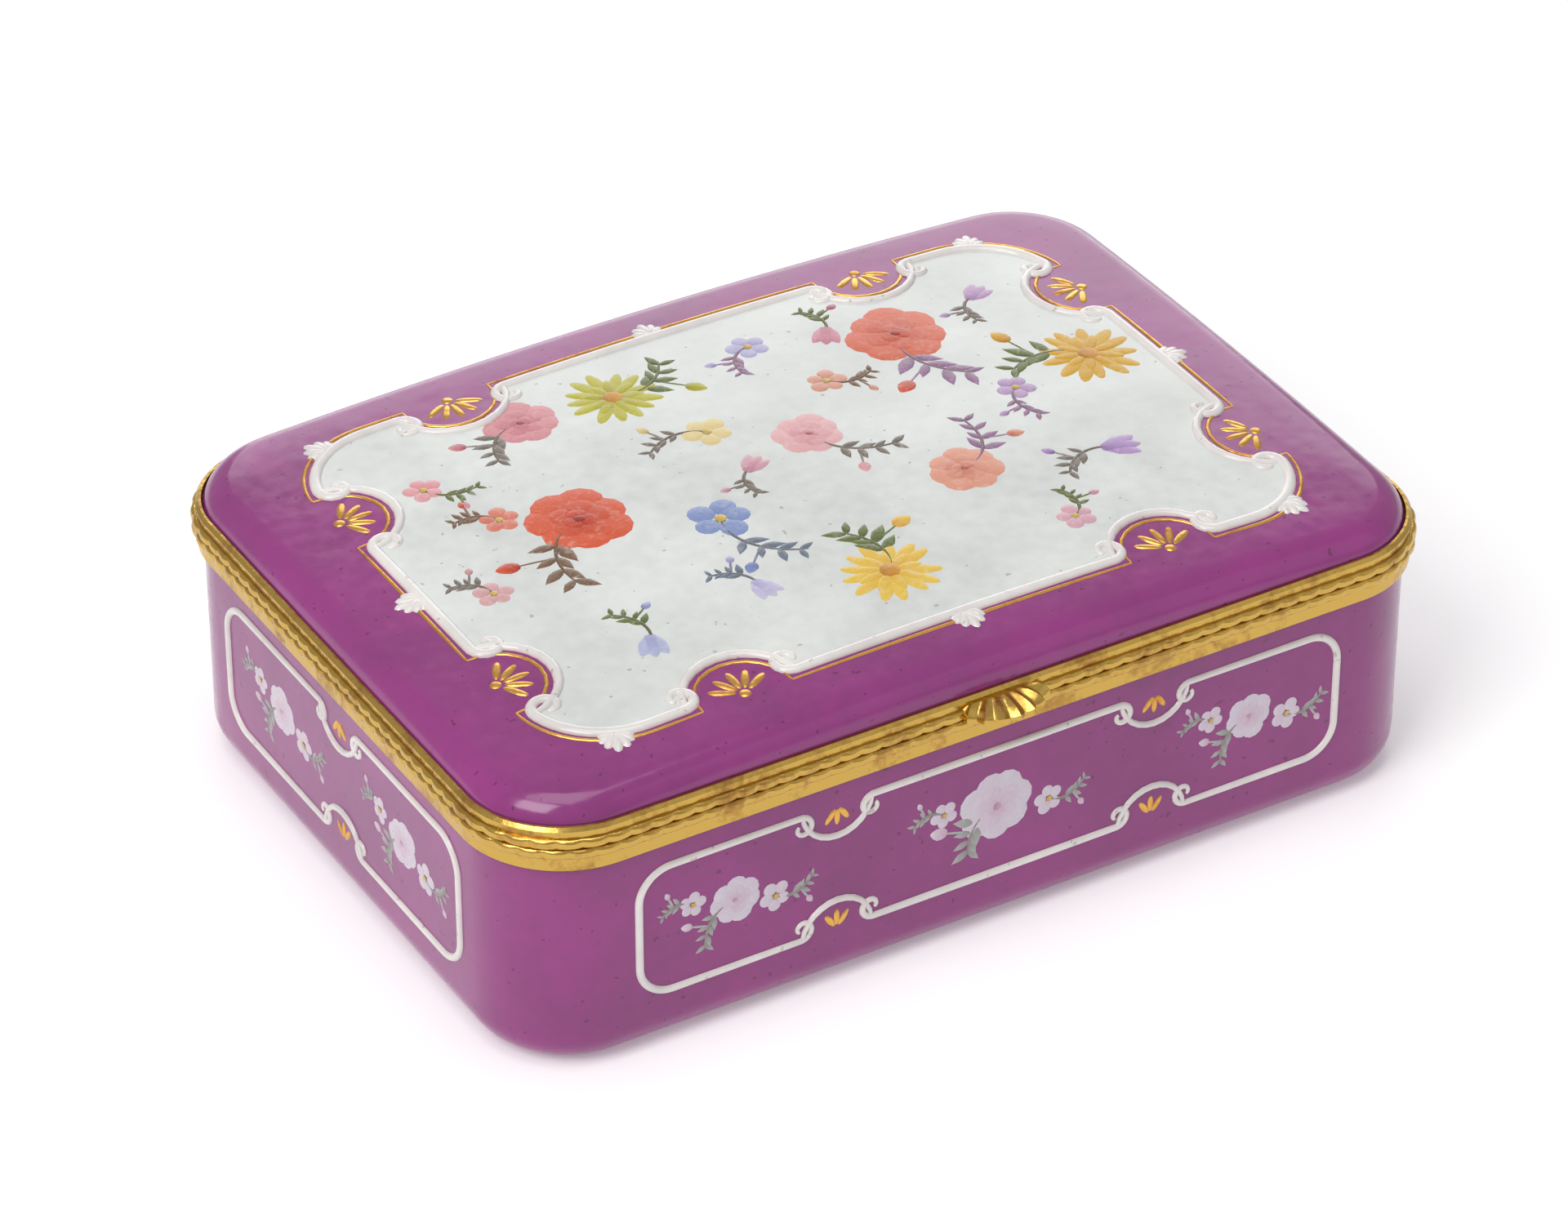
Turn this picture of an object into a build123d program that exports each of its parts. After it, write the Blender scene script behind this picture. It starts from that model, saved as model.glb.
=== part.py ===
"""A rectangular enamelled copper snuff box with gilt mounts and a hinged, gently domed lid.

Frame: millimetres, +Z up, +X along the box, -Y at the front with the thumbpiece, +Y at the hinge.
The origin is the middle of the flat base. An inset is measured inward from the enamel's outer
face, so every coat, mount and lip is placed by how far in or out of that face it lies.
"""

import os

from build123d import *

# Walls of the box, three fused coats
WALL_LENGTH = 78.2  # enamel, outside, along X
WALL_DEPTH = 54.9  # enamel, outside, along Y
CORNER_RADIUS = 7.6
OUTER_COAT = 0.5
COPPER_CORE = 0.5
INNER_COAT = 0.5
BASE_EDGE_RADIUS = 2.8
BODY_RIM_Z = 18.85  # top edge of the enamelled pan
DOME_RADIUS = 600.0
DOME_RISE = 3.6  # crown above the lid's rim
SHOULDER_RADIUS = 2.2

# Gilt mounts
SEAM_GAP = 0.05
BEDDING = 0.35  # cement between an enamelled edge and its mount
WEB = 0.8
MOUNT_PROUD = 0.9  # how far the mounts stand outside the enamel
MOUNT_FIT = 0.05
MOUNT_BEAD = 0.8  # height of the bead along the seam
MOUNT_BAND = 0.5  # how far the band behind the bead stands out
BODY_MOUNT_LAP = 1.0  # how far the body mount laps down over the pan
LID_MOUNT_LAP = 0.45  # how far the lid mount laps up over the lid's edge
LID_LIP = 0.5  # thickness of the lid mount's inner lip
BODY_LIP_LAP = 1.2
LID_LIP_LAP = 0.7
FLANGE_RISE = 1.2  # closing flange above the seam
FLANGE_DROP = 1.6  # closing flange below the seam
FLANGE_THICKNESS = 0.4
FLANGE_CLEARANCE = 0.2

# Hinge
KNUCKLE_COUNT = 5
KNUCKLE_LENGTH = 8.0
KNUCKLE_GAP = 0.12
KNUCKLE_RADIUS = 1.1
KNUCKLE_CHANNEL_CLEARANCE = 0.12
HINGE_OFFSET = 0.75  # hinge axis outside the mounts
PIN_RADIUS = 0.5
PIN_SEAT_CLEARANCE = 0.01
PIN_RUNNING_CLEARANCE = 0.05
CAP_THICKNESS = 0.7
CAP_PLUG = 0.8
CAP_ROUND = 0.45
LEAF_REACH = 1.5  # how far a knuckle's leaf runs in from the hinge axis
LEAF_THICKNESS = 0.55

# Thumbpiece, a small fluted shell
THUMB_RADIUS = 4.2
THUMB_OFFSET = 2.6  # centre of the shell, inside the mount's outer face
THUMB_THICKNESS = 1.1
THUMB_FLUTES = 5
FLUTE_PITCH = 28.0
FLUTE_RADIUS = 0.45

# Raised scrolls and the white reserve
RESERVE_THICKNESS = 0.15
LID_SCROLL_RISE = 0.4
LID_SCROLL_WIDTH = 1.0
RESERVE_LENGTH = 65.0
RESERVE_DEPTH = 44.5
RESERVE_CORNER = 7.0
NOTCH_RADIUS = 4.0
NOTCH_X = 18.0  # middles of the notches along the long sides
NOTCH_Y = 12.0  # middles of the notches along the short sides
SCROLL_TIP_SHARE = 0.3  # rounding of a frame's tips, as a share of its notch radius
SIDE_SCROLL_RISE = 0.3
SIDE_SCROLL_WIDTH = 0.8
SIDE_PANEL_HEIGHT = 11.6
SIDE_PANEL_BOTTOM = 4.6
SIDE_PANEL_MARGIN = 9.0  # from the end of a wall to the end of its panel
SIDE_PANEL_CORNER = 3.0
SIDE_NOTCH_RADIUS = 2.6
SIDE_NOTCH_X = 13.5  # middles of the two notches along a long wall

# Worked out from the values above
WALL = OUTER_COAT + COPPER_CORE + INNER_COAT
BODY_WEB_Z = BODY_RIM_Z + BEDDING
SEAM_Z = BODY_WEB_Z + WEB  # top of the body mount, where the lid rests
LID_SEAT_Z = SEAM_Z + SEAM_GAP
LID_WEB_Z = LID_SEAT_Z + WEB
LID_RIM_Z = LID_WEB_Z + BEDDING
DOME_CROWN_Z = LID_RIM_Z + DOME_RISE
LIP_INSET = WALL + MOUNT_FIT
LID_LIP_INNER = LIP_INSET + LID_LIP
FLANGE_INSET = LID_LIP_INNER + FLANGE_CLEARANCE
FLANGE_INNER = FLANGE_INSET + FLANGE_THICKNESS
HINGE_Y = WALL_DEPTH / 2 + MOUNT_PROUD + HINGE_OFFSET
HINGE_Z = SEAM_Z + SEAM_GAP / 2
KNUCKLE_PITCH = KNUCKLE_LENGTH + KNUCKLE_GAP
HINGE_LENGTH = KNUCKLE_COUNT * KNUCKLE_LENGTH + (KNUCKLE_COUNT - 1) * KNUCKLE_GAP
CHANNEL_LENGTH = HINGE_LENGTH + 2 * (CAP_THICKNESS + KNUCKLE_GAP)
CHANNEL_RADIUS = KNUCKLE_RADIUS + KNUCKLE_CHANNEL_CLEARANCE
SIDE_PANEL_Z = SIDE_PANEL_BOTTOM + SIDE_PANEL_HEIGHT / 2


def pan_form(inset):
    """Solid form of the box's body, brought in from the enamel's outer face by inset."""
    with BuildPart() as form:
        with BuildSketch(Plane.XY.offset(inset)):
            RectangleRounded(WALL_LENGTH - 2 * inset, WALL_DEPTH - 2 * inset, CORNER_RADIUS - inset)
        extrude(amount=BODY_RIM_Z - inset)
        fillet(form.faces().sort_by(Axis.Z)[0].edges(), BASE_EDGE_RADIUS - inset)
    return form.part


def lid_form(inset):
    """Solid form of the domed lid, brought in by inset, from its rim to its crown."""
    with BuildPart() as form:
        with BuildSketch(Plane.XY.offset(LID_RIM_Z - 2 * SHOULDER_RADIUS)):
            RectangleRounded(WALL_LENGTH - 2 * inset, WALL_DEPTH - 2 * inset, CORNER_RADIUS - inset)
        extrude(amount=DOME_CROWN_Z)
        with Locations((0, 0, DOME_CROWN_Z - DOME_RADIUS)):
            Sphere(DOME_RADIUS - inset, mode=Mode.INTERSECT)
        fillet(form.faces().sort_by(Axis.Z)[-1].edges(), SHOULDER_RADIUS - inset)
        split(bisect_by=Plane.XY.offset(LID_RIM_Z), keep=Keep.TOP)
    return form.part


def ring(outer_inset, inner_inset, bottom, top):
    """A band that follows the wall all round, between two insets and two heights."""
    with BuildPart() as band:
        with BuildSketch(Plane.XY.offset(bottom)):
            RectangleRounded(
                WALL_LENGTH - 2 * outer_inset,
                WALL_DEPTH - 2 * outer_inset,
                CORNER_RADIUS - outer_inset,
            )
            RectangleRounded(
                WALL_LENGTH - 2 * inner_inset,
                WALL_DEPTH - 2 * inner_inset,
                CORNER_RADIUS - inner_inset,
                mode=Mode.SUBTRACT,
            )
        extrude(amount=top - bottom)
    return band.part


def mount(points, seam_height, toward):
    """A gilt mount swept round the rim from its half section.

    points are (out, along): out of the enamel's outer face, and along Z from the seam.
    toward is 1 for the lid mount, which rises from the seam, and -1 for the body mount.
    """
    half_x = WALL_LENGTH / 2
    half_y = WALL_DEPTH / 2
    section = [(half_x + out, seam_height + toward * along) for out, along in points]
    with BuildPart() as swept:
        with BuildSketch(mode=Mode.PRIVATE) as rim:
            RectangleRounded(WALL_LENGTH, WALL_DEPTH, CORNER_RADIUS)
        with BuildSketch(Plane.XZ) as profile:
            with BuildLine():
                Polyline(*section, close=True)
            make_face()
            bead = profile.vertices().filter_by(
                lambda corner: abs(corner.X - half_x - MOUNT_PROUD) < 1e-6
            )
            fillet(bead, MOUNT_BEAD * 0.4)
        sweep(path=rim.sketch.face().outer_wire())
    return swept.part


def mount_section(lap, lip_inner, lip_lap):
    """Half section of a channel mount: bead, band, web over the rim and an inner lip."""
    band_end = WEB + BEDDING + lap
    lip_end = WEB + BEDDING + lip_lap
    return [
        (MOUNT_PROUD, 0),
        (MOUNT_PROUD, MOUNT_BEAD),
        (MOUNT_BAND, MOUNT_BEAD),
        (MOUNT_BAND, band_end - MOUNT_BAND / 2),
        (MOUNT_BAND / 2, band_end),
        (MOUNT_FIT, band_end),
        (MOUNT_FIT, WEB),
        (-LIP_INSET, WEB),
        (-LIP_INSET, lip_end),
        (-lip_inner, lip_end),
        (-lip_inner, 0),
    ]


def knuckle_x(number):
    """X place of the middle of a hinge knuckle, counted from the -X end."""
    return (number - (KNUCKLE_COUNT - 1) / 2) * KNUCKLE_PITCH


def knuckle(number, toward, clearance):
    """One hinge knuckle with the leaf that is soldered to its mount."""
    leaf_low = min(0, toward * LEAF_THICKNESS) + (toward * SEAM_GAP / 2)
    with BuildPart() as barrel:
        with Locations((knuckle_x(number), HINGE_Y, HINGE_Z)):
            Cylinder(KNUCKLE_RADIUS, KNUCKLE_LENGTH, rotation=(0, 90, 0))
            with Locations((0, -LEAF_REACH / 2, leaf_low + LEAF_THICKNESS / 2)):
                Box(KNUCKLE_LENGTH, LEAF_REACH, LEAF_THICKNESS)
            Cylinder(
                PIN_RADIUS + clearance, KNUCKLE_LENGTH, rotation=(0, 90, 0), mode=Mode.SUBTRACT
            )
    return barrel.part


def notched_panel(width, height, corner, notch_x, notch_y, notch):
    """Outline of a reserve with rounded corners and a round notch bitten in on each side.

    notch_x holds the notches along the long edges and notch_y those along the short edges.
    """
    tip = notch * SCROLL_TIP_SHARE
    with BuildSketch() as outline:
        RectangleRounded(width - 2 * tip, height - 2 * tip, corner - tip)
        with Locations(*[(x, side * height / 2) for x in notch_x for side in (-1, 1)]):
            Circle(notch + tip, mode=Mode.SUBTRACT)
        if notch_y:
            with Locations(*[(side * width / 2, y) for y in notch_y for side in (-1, 1)]):
                Circle(notch + tip, mode=Mode.SUBTRACT)
        offset(amount=tip, kind=Kind.ARC)
    return outline.sketch


# Body, three fused coats
with BuildPart() as body_enamel:
    add(pan_form(0))
    add(pan_form(OUTER_COAT), mode=Mode.SUBTRACT)

with BuildPart() as body_copper:
    add(pan_form(OUTER_COAT))
    add(pan_form(OUTER_COAT + COPPER_CORE), mode=Mode.SUBTRACT)

with BuildPart() as body_counter_enamel:
    add(pan_form(OUTER_COAT + COPPER_CORE))
    add(pan_form(WALL), mode=Mode.SUBTRACT)

# Lid, three fused coats
with BuildPart() as lid_enamel:
    add(lid_form(0))
    add(lid_form(OUTER_COAT), mode=Mode.SUBTRACT)

with BuildPart() as lid_copper:
    add(lid_form(OUTER_COAT))
    add(lid_form(OUTER_COAT + COPPER_CORE), mode=Mode.SUBTRACT)

with BuildPart() as lid_counter_enamel:
    add(lid_form(OUTER_COAT + COPPER_CORE))
    add(lid_form(WALL), mode=Mode.SUBTRACT)

# Cement that beds each enamelled edge in its mount
with BuildPart() as body_bedding:
    add(ring(0, WALL, BODY_RIM_Z, BODY_WEB_Z))

with BuildPart() as lid_bedding:
    add(ring(0, WALL, LID_WEB_Z, LID_RIM_Z))

# Mounts, each with a channel for the hinge
with BuildPart() as hinge_channel:
    with Locations((0, HINGE_Y, HINGE_Z)):
        Cylinder(CHANNEL_RADIUS, CHANNEL_LENGTH, rotation=(0, 90, 0))

with BuildPart() as body_mount:
    add(mount(mount_section(BODY_MOUNT_LAP, FLANGE_INSET, BODY_LIP_LAP), SEAM_Z, -1))
    add(hinge_channel.part, mode=Mode.SUBTRACT)

# What the lid mount's inner lip loses so that it clears the ceiling in the corners
with BuildPart() as lip_trim:
    add(ring(WALL / 2, LID_LIP_INNER + LID_LIP, LID_SEAT_Z, DOME_CROWN_Z))
    with Locations((0, 0, DOME_CROWN_Z - DOME_RADIUS)):
        Sphere(DOME_RADIUS - SHOULDER_RADIUS, mode=Mode.SUBTRACT)

with BuildPart() as lid_mount:
    add(mount(mount_section(LID_MOUNT_LAP, LID_LIP_INNER, LID_LIP_LAP), LID_SEAT_Z, 1))
    add(hinge_channel.part, mode=Mode.SUBTRACT)
    add(lip_trim.part, mode=Mode.SUBTRACT)

with BuildPart() as closing_flange:
    add(ring(FLANGE_INSET, FLANGE_INNER, SEAM_Z - FLANGE_DROP, SEAM_Z + FLANGE_RISE))

# Hinge, five knuckles on one pin
base_knuckles = {}
for place in range(0, KNUCKLE_COUNT, 2):
    with BuildPart() as base_knuckle:
        add(knuckle(place, -1, PIN_SEAT_CLEARANCE))
        add(body_mount.part, mode=Mode.SUBTRACT)
    base_knuckles[f"base_knuckle_{place // 2 + 1}"] = base_knuckle

lid_knuckles = {}
for place in range(1, KNUCKLE_COUNT, 2):
    with BuildPart() as lid_knuckle:
        add(knuckle(place, 1, PIN_RUNNING_CLEARANCE))
        add(lid_mount.part, mode=Mode.SUBTRACT)
    lid_knuckles[f"lid_knuckle_{place // 2 + 1}"] = lid_knuckle

with BuildPart() as hinge_pin:
    with Locations((0, HINGE_Y, HINGE_Z)):
        Cylinder(PIN_RADIUS, HINGE_LENGTH - 2 * CAP_PLUG, rotation=(0, 90, 0))

pin_caps = {}
for cap_name, end in (("pin_cap_left", -1), ("pin_cap_right", 1)):
    with BuildPart() as pin_cap:
        with BuildSketch(Plane(origin=(end * HINGE_LENGTH / 2, HINGE_Y, HINGE_Z), z_dir=(end, 0, 0))):
            Circle(KNUCKLE_RADIUS)
        extrude(amount=CAP_THICKNESS)
        fillet(pin_cap.faces().sort_by(Axis.X)[-1 if end > 0 else 0].edges(), CAP_ROUND)
        with BuildSketch(Plane(origin=(end * HINGE_LENGTH / 2, HINGE_Y, HINGE_Z), z_dir=(-end, 0, 0))):
            Circle(PIN_RADIUS)
        extrude(amount=CAP_PLUG)
    pin_caps[cap_name] = pin_cap

# Thumbpiece on the front of the lid mount
THUMB_Y = -(WALL_DEPTH / 2 + MOUNT_PROUD) + THUMB_OFFSET
MOUNT_BAND_Y = -(WALL_DEPTH / 2 + MOUNT_BAND)
with BuildPart() as thumbpiece:
    with BuildSketch(Plane.XY.offset(LID_SEAT_Z)):
        with Locations((0, THUMB_Y)):
            Circle(THUMB_RADIUS)
            with PolarLocations(
                THUMB_RADIUS,
                THUMB_FLUTES,
                start_angle=-90 - FLUTE_PITCH * (THUMB_FLUTES - 1) / 2,
                angular_range=FLUTE_PITCH * (THUMB_FLUTES - 1),
                endpoint=True,
            ):
                Circle(FLUTE_RADIUS)
        with Locations((0, MOUNT_BAND_Y)):
            Rectangle(
                4 * THUMB_RADIUS, 4 * THUMB_RADIUS, align=(Align.CENTER, Align.MIN), mode=Mode.SUBTRACT
            )
    extrude(amount=THUMB_THICKNESS)
    add(lid_mount.part, mode=Mode.SUBTRACT)

# Lid reserve and its raised scroll frame
lid_outline = notched_panel(
    RESERVE_LENGTH,
    RESERVE_DEPTH,
    RESERVE_CORNER,
    (-NOTCH_X, NOTCH_X),
    (-NOTCH_Y, NOTCH_Y),
    NOTCH_RADIUS,
)
with BuildPart() as lid_reserve:
    add(offset(lid_outline, -LID_SCROLL_WIDTH, mode=Mode.PRIVATE))
    extrude(amount=2 * DOME_CROWN_Z)
    add(lid_form(-RESERVE_THICKNESS), mode=Mode.INTERSECT)
    add(lid_form(0), mode=Mode.SUBTRACT)

with BuildPart() as lid_scroll_frame:
    with BuildSketch():
        add(lid_outline)
        add(offset(lid_outline, -LID_SCROLL_WIDTH, mode=Mode.PRIVATE), mode=Mode.SUBTRACT)
    extrude(amount=2 * DOME_CROWN_Z)
    add(lid_form(-LID_SCROLL_RISE), mode=Mode.INTERSECT)
    add(lid_form(0), mode=Mode.SUBTRACT)


def wall_scroll(angle, wall_span, notches):
    """The raised scroll frame of one wall, turned about Z to the wall at that angle."""
    panel_width = wall_span - 2 * SIDE_PANEL_MARGIN
    outline = notched_panel(
        panel_width, SIDE_PANEL_HEIGHT, SIDE_PANEL_CORNER, notches, (), SIDE_NOTCH_RADIUS
    )
    with BuildPart() as frame:
        with BuildSketch(Plane.XZ):
            with Locations((0, SIDE_PANEL_Z)):
                add(outline)
                add(offset(outline, -SIDE_SCROLL_WIDTH, mode=Mode.PRIVATE), mode=Mode.SUBTRACT)
        extrude(amount=WALL_LENGTH)
    turned = frame.part.rotate(Axis.Z, angle)
    with BuildPart() as scroll:
        add(turned)
        add(pan_form(-SIDE_SCROLL_RISE), mode=Mode.INTERSECT)
        add(pan_form(0), mode=Mode.SUBTRACT)
    return scroll


long_notches = (-SIDE_NOTCH_X, SIDE_NOTCH_X)
wall_scrolls = {
    "front_wall_scroll": wall_scroll(0, WALL_LENGTH, long_notches),
    "right_wall_scroll": wall_scroll(90, WALL_DEPTH, (0,)),
    "back_wall_scroll": wall_scroll(180, WALL_LENGTH, long_notches),
    "left_wall_scroll": wall_scroll(270, WALL_DEPTH, (0,)),
}

pieces = {
    "body_enamel": body_enamel,
    "body_copper": body_copper,
    "body_counter_enamel": body_counter_enamel,
    "body_bedding": body_bedding,
    "body_mount": body_mount,
    "closing_flange": closing_flange,
    "lid_enamel": lid_enamel,
    "lid_copper": lid_copper,
    "lid_counter_enamel": lid_counter_enamel,
    "lid_bedding": lid_bedding,
    "lid_mount": lid_mount,
    "lid_reserve": lid_reserve,
    "lid_scroll_frame": lid_scroll_frame,
    "thumbpiece": thumbpiece,
    "hinge_pin": hinge_pin,
}
pieces.update(base_knuckles)
pieces.update(lid_knuckles)
pieces.update(pin_caps)
pieces.update(wall_scrolls)

os.makedirs("parts", exist_ok=True)
for piece_name, piece in pieces.items():
    piece.part.label = piece_name
    export_step(piece.part, f"parts/{piece_name}.step")
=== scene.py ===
"""Dresses the hinged enamel snuff box: fired coats, raised scrolls, painted sprays, gilt mounts.

The box's own sizes are given in millimetres and turned into metres where a mesh is made.
"""

from __future__ import annotations

import logging
import math
import random
from dataclasses import dataclass, field
from enum import Enum
from typing import Callable, Sequence

import bpy
from mathutils import Matrix, Vector
from mathutils.geometry import delaunay_2d_cdt


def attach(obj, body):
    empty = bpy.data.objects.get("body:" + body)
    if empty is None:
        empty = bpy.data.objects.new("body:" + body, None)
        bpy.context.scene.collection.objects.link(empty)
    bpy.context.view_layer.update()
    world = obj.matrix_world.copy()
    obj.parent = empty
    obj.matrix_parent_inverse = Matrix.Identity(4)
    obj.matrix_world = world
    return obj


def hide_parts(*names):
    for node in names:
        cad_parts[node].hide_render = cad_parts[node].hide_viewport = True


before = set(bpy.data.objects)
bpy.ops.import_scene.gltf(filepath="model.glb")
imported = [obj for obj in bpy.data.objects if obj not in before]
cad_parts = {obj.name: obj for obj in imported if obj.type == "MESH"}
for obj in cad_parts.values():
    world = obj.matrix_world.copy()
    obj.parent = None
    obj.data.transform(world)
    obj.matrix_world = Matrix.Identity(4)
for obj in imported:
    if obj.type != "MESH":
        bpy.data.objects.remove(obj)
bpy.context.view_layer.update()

MM = 0.001
QUARTER = math.pi / 2
LOG = logging.getLogger("snuff_box")

Point2 = tuple[float, float]
Colour = tuple[float, float, float]
PLAIN: Colour = (1.0, 1.0, 1.0)


def srgb(red: int, green: int, blue: int) -> Colour:
    """Turns an sRGB colour of 0 to 255 into linear light.

    Args:
        red: Red channel.
        green: Green channel.
        blue: Blue channel.

    Returns:
        The same colour in linear light, 0 to 1.
    """

    def linear(channel: int) -> float:
        """One channel in linear light."""
        value = channel / 255.0
        return value / 12.92 if value <= 0.04045 else ((value + 0.055) / 1.055) ** 2.4

    return (linear(red), linear(green), linear(blue))


def blend(first: Sequence[float], second: Sequence[float], share: float) -> tuple[float, ...]:
    """The colour or point that share of the way from first to second."""
    return tuple(a + (b - a) * share for a, b in zip(first, second))


def heading(turn: float) -> Vector:
    """The unit vector in the direction of an angle in radians."""
    return Vector((math.cos(turn), math.sin(turn)))


class Socket:
    """A node socket with arithmetic, so that shader maths reads as a formula."""

    def __init__(self, graph: Graph, socket: bpy.types.NodeSocket) -> None:
        """Wraps an output socket of a graph."""
        self.graph = graph
        self.socket = socket

    def _maths(self, operation: str, other: Socket | float) -> Socket:
        """A Math node over this socket and another value."""
        node = self.graph.tree.nodes.new("ShaderNodeMath")
        node.operation = operation
        self.graph.feed(node.inputs[0], self)
        self.graph.feed(node.inputs[1], other)
        return Socket(self.graph, node.outputs[0])

    def __add__(self, other: Socket | float) -> Socket:
        """Sum."""
        return self._maths("ADD", other)

    def __sub__(self, other: Socket | float) -> Socket:
        """Difference."""
        return self._maths("SUBTRACT", other)

    def __mul__(self, other: Socket | float) -> Socket:
        """Product."""
        return self._maths("MULTIPLY", other)

    def above(self, threshold: float) -> Socket:
        """1 where this value is over the threshold, else 0."""
        return self._maths("GREATER_THAN", threshold)

    def ramp(self, low: float, high: float, start: float = 0.0, end: float = 1.0) -> Socket:
        """This value, clamped and mapped from low..high to start..end."""
        return self.graph.node(
            "ShaderNodeMapRange",
            "Result",
            {"clamp": True},
            Value=self,
            From_Min=low,
            From_Max=high,
            To_Min=start,
            To_Max=end,
        )


class Graph:
    """A material's node tree, with one method that makes any node."""

    def __init__(self, name: str) -> None:
        """Makes an empty material of that name with its output node."""
        self.material = bpy.data.materials.new(name)
        self.material.use_nodes = True
        self.tree = self.material.node_tree
        self.tree.nodes.clear()
        self.output = self.tree.nodes.new("ShaderNodeOutputMaterial")

    def feed(self, slot: bpy.types.NodeSocket, value: object) -> None:
        """Links a Socket into the slot, or sets the slot's constant."""
        if isinstance(value, Socket):
            self.tree.links.new(value.socket, slot)
        elif isinstance(value, tuple) and len(value) == 3 and slot.type == "RGBA":
            slot.default_value = (*value, 1.0)
        else:
            slot.default_value = value

    def node(
        self, kind: str, output: str, settings: dict | None = None, **inputs: object
    ) -> Socket:
        """Makes a node, sets it up, feeds its inputs and returns one output.

        Args:
            kind: The node's Blender type.
            output: Name of the output wanted.
            settings: Attributes of the node itself.
            **inputs: Values or Sockets for its inputs, with _ for a space.

        Returns:
            The chosen output.
        """
        made = self.tree.nodes.new(kind)
        for key, value in (settings or {}).items():
            setattr(made, key, value)
        for key, value in inputs.items():
            self.feed(made.inputs[key.replace("_", " ")], value)
        return Socket(self, made.outputs[output])

    def noise(self, per_metre: float, detail: float = 3.0, distortion: float = 0.0) -> Socket:
        """Noise of that many features a metre, 0 to 1, fixed to the piece."""
        return self.node(
            "ShaderNodeTexNoise",
            "Fac",
            Vector=self.node("ShaderNodeTexCoord", "Object"),
            Scale=per_metre,
            Detail=detail,
            Distortion=distortion,
        )

    def mix(self, factor: Socket, first: object, second: object) -> Socket:
        """A colour between first and second."""
        made = self.tree.nodes.new("ShaderNodeMix")
        made.data_type = "RGBA"
        for slot, value in zip((0, 6, 7), (factor, first, second)):
            self.feed(made.inputs[slot], value)
        return Socket(self, made.outputs[2])

    def bump(self, height: Socket, distance: float, strength: float) -> Socket:
        """A normal bent by a height."""
        return self.node(
            "ShaderNodeBump", "Normal", Height=height, Distance=distance, Strength=strength
        )

    def surface(self, **inputs: object) -> bpy.types.Material:
        """Ends the tree in a Principled surface with those inputs and returns the material."""
        shader = self.node("ShaderNodeBsdfPrincipled", "BSDF", **inputs)
        self.tree.links.new(shader.socket, self.output.inputs["Surface"])
        return self.material


@dataclass(frozen=True)
class EnamelFinish:
    """Fired enamel: a slightly uneven glassy coat with cloudy colour, pits and hair wear."""

    name: str
    deep: Colour
    bright: Colour
    fleck: Colour
    fleck_level: float = 0.73
    ripple: float = 0.35
    index: float = 1.45
    coat: float = 0.2
    roughness: float = 0.16
    clouds_per_metre: float = 110.0
    ripples_per_metre: float = 190.0
    grains_per_metre: float = 900.0
    pits_per_metre: float = 1500.0
    ripple_depth: float = 0.00025

    def build(self) -> bpy.types.Material:
        """Makes the material."""
        graph = Graph(self.name)
        cloud = graph.noise(self.clouds_per_metre, 4.0, 0.4)
        grain = graph.noise(self.grains_per_metre, 2.0)
        pits = graph.noise(self.pits_per_metre, 1.0).above(self.fleck_level)
        shade = (cloud * 0.75 + grain * 0.25).ramp(0.35, 0.66)
        body = graph.mix(shade, self.deep, self.bright)
        ripple = graph.noise(self.ripples_per_metre, 2.0) + grain * 0.08
        return graph.surface(
            Base_Color=graph.mix(pits * 0.55, body, self.fleck),
            Roughness=grain.ramp(0.3, 0.75, self.roughness * 0.7, self.roughness * 1.6),
            IOR=self.index,
            Coat_Weight=self.coat,
            Coat_Roughness=0.06,
            Normal=graph.bump(ripple - pits * 0.3, self.ripple_depth, self.ripple),
        )


@dataclass(frozen=True)
class GiltFinish:
    """Mercury-gilt metal: warm gold, worn redder and duller, with fine hammering."""

    name: str
    gold: Colour
    worn: Colour
    roughness: float = 0.3
    patches_per_metre: float = 330.0
    dents_per_metre: float = 700.0
    grains_per_metre: float = 2200.0
    dent_depth: float = 0.00012
    hammer: float = 0.5

    def build(self) -> bpy.types.Material:
        """Makes the material."""
        graph = Graph(self.name)
        patches = graph.noise(self.patches_per_metre, 5.0, 0.6)
        grain = graph.noise(self.grains_per_metre, 2.0)
        wear = (patches * 0.75 + grain * 0.25).ramp(0.5, 0.72)
        dents = graph.noise(self.dents_per_metre, 2.0) + grain * 0.4
        return graph.surface(
            Base_Color=graph.mix(wear, self.gold, self.worn),
            Metallic=1.0,
            Roughness=wear.ramp(0.0, 1.0, self.roughness * 0.75, self.roughness * 1.5),
            Normal=graph.bump(dents, self.dent_depth, self.hammer),
        )


@dataclass(frozen=True)
class PlainFinish:
    """A dull mineral or metal surface that shows only with the box open or taken apart."""

    name: str
    light: Colour
    dark: Colour
    metallic: float = 0.0
    roughness: float = 0.7
    grains_per_metre: float = 800.0

    def build(self) -> bpy.types.Material:
        """Makes the material."""
        graph = Graph(self.name)
        grain = graph.noise(self.grains_per_metre, 4.0)
        return graph.surface(
            Base_Color=graph.mix(grain.ramp(0.35, 0.65), self.light, self.dark),
            Metallic=self.metallic,
            Roughness=grain.ramp(0.3, 0.7, self.roughness * 0.8, self.roughness * 1.15),
            Normal=graph.bump(grain, 0.0001, 0.4),
        )


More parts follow.
